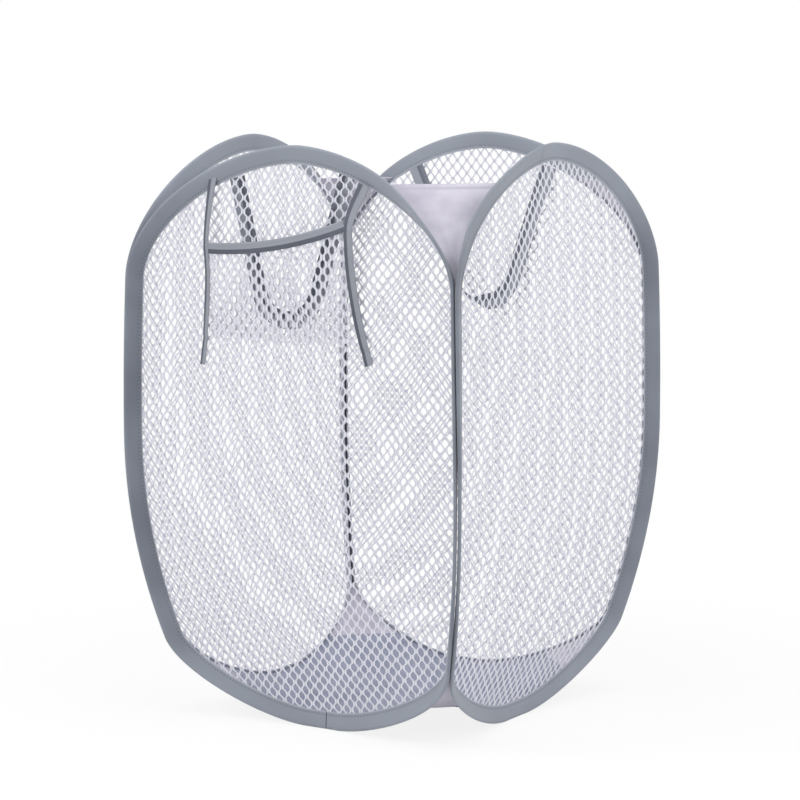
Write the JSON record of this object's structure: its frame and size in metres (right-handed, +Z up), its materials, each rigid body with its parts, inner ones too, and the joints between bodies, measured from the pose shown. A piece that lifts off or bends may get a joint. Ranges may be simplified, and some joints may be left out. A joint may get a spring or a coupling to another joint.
{
  "type": "pop up laundry hamper",
  "caption": "Square pop up laundry hamper of net panels in folded binding over sprung wire loops, with cloth gussets and floor, inner carrying straps and an outer net pocket.",
  "frame": {"origin": "on the ground, under the middle of the hamper", "axes": "+Z up, the panel with the pocket faces -Y"},
  "size_m": [0.3816, 0.3816, 0.552],
  "materials": {
    "grey_binding": "matte woven tape",
    "white_net": "knitted net",
    "pale_cloth": "thin woven cloth",
    "spring_steel": "flat spring wire"
  },
  "bodies": {
    "front_panel": {"front_binding": "grey_binding", "front_spring_wire": "spring_steel", "front_wire_sleeve": "spring_steel", "front_net_lower": "white_net", "front_net_middle": "white_net", "front_net_upper": "white_net", "front_right_upper_gusset": "pale_cloth", "front_right_lower_gusset": "pale_cloth", "front_left_upper_gusset": "pale_cloth", "front_left_lower_gusset": "pale_cloth", "floor_cloth": "pale_cloth", "pocket_net": "white_net", "pocket_mouth_binding": "grey_binding", "pocket_left_tape": "grey_binding", "pocket_right_tape": "grey_binding"},
    "left_panel": {"left_binding": "grey_binding", "left_spring_wire": "spring_steel", "left_wire_sleeve": "spring_steel", "left_net_lower": "white_net", "left_net_middle": "white_net", "left_net_upper": "white_net", "back_left_upper_gusset": "pale_cloth", "back_left_lower_gusset": "pale_cloth"},
    "right_panel": {"right_binding": "grey_binding", "right_spring_wire": "spring_steel", "right_wire_sleeve": "spring_steel", "right_net_lower": "white_net", "right_net_middle": "white_net", "right_net_upper": "white_net"},
    "back_right_upper_gusset": {"back_right_upper_gusset": "pale_cloth"},
    "back_right_lower_gusset": {"back_right_lower_gusset": "pale_cloth"},
    "back_panel": {"back_binding": "grey_binding", "back_spring_wire": "spring_steel", "back_wire_sleeve": "spring_steel", "back_net_lower": "white_net", "back_net_middle": "white_net", "back_net_upper": "white_net"},
    "front_strap": {"front_strap": "grey_binding"},
    "back_strap": {"back_strap": "grey_binding"}
  },
  "joints": [
    {"name": "front_left_fold", "type": "hinge", "parent": "front_panel", "child": "left_panel", "pos_m": [-0.1893, -0.1893, 0.25], "axis": [0, 0, 1], "range_deg": [0, 66], "stiffness_Nm_per_rad": 0.05, "deforming": ["front_left_upper_gusset", "front_left_lower_gusset", "front_right_upper_gusset", "front_right_lower_gusset", "back_left_upper_gusset", "back_left_lower_gusset", "back_right_upper_gusset", "back_right_lower_gusset", "floor_cloth"]},
    {"name": "front_right_fold", "type": "hinge", "parent": "front_panel", "child": "right_panel", "pos_m": [0.1465, -0.1465, 0.25], "axis": [0, 0, 1], "range_deg": [0, 66]},
    {"name": "back_left_fold", "type": "hinge", "parent": "left_panel", "child": "back_panel", "pos_m": [-0.1465, 0.1465, 0.25], "axis": [0, 0, 1], "range_deg": [-66, 0]},
    {"name": "back_right_upper_gusset_turn", "type": "hinge", "parent": "right_panel", "child": "back_right_upper_gusset", "pos_m": [0.1893, 0.1893, 0.25], "axis": [0, 0, 1], "range_deg": [-33, 0]},
    {"name": "back_right_lower_gusset_turn", "type": "hinge", "parent": "back_panel", "child": "back_right_lower_gusset", "pos_m": [0.1893, 0.1893, 0.25], "axis": [0, 0, 1], "range_deg": [0, 33]},
    {"name": "front_strap_swing", "type": "hinge", "parent": "front_panel", "child": "front_strap", "pos_m": [0, -0.16858, 0.52616], "axis": [1, 0, 0], "range_deg": [0, 165]},
    {"name": "back_strap_swing", "type": "hinge", "parent": "back_panel", "child": "back_strap", "pos_m": [0, 0.16897, 0.5185], "axis": [-1, 0, 0], "range_deg": [0, 165]}
  ],
  "couplings": [
    {"joint": "front_right_fold", "follows": "front_left_fold", "ratio": 1},
    {"joint": "back_left_fold", "follows": "front_left_fold", "ratio": -1},
    {"joint": "back_right_upper_gusset_turn", "follows": "front_left_fold", "ratio": -0.5},
    {"joint": "back_right_lower_gusset_turn", "follows": "front_left_fold", "ratio": 0.5}
  ]
}
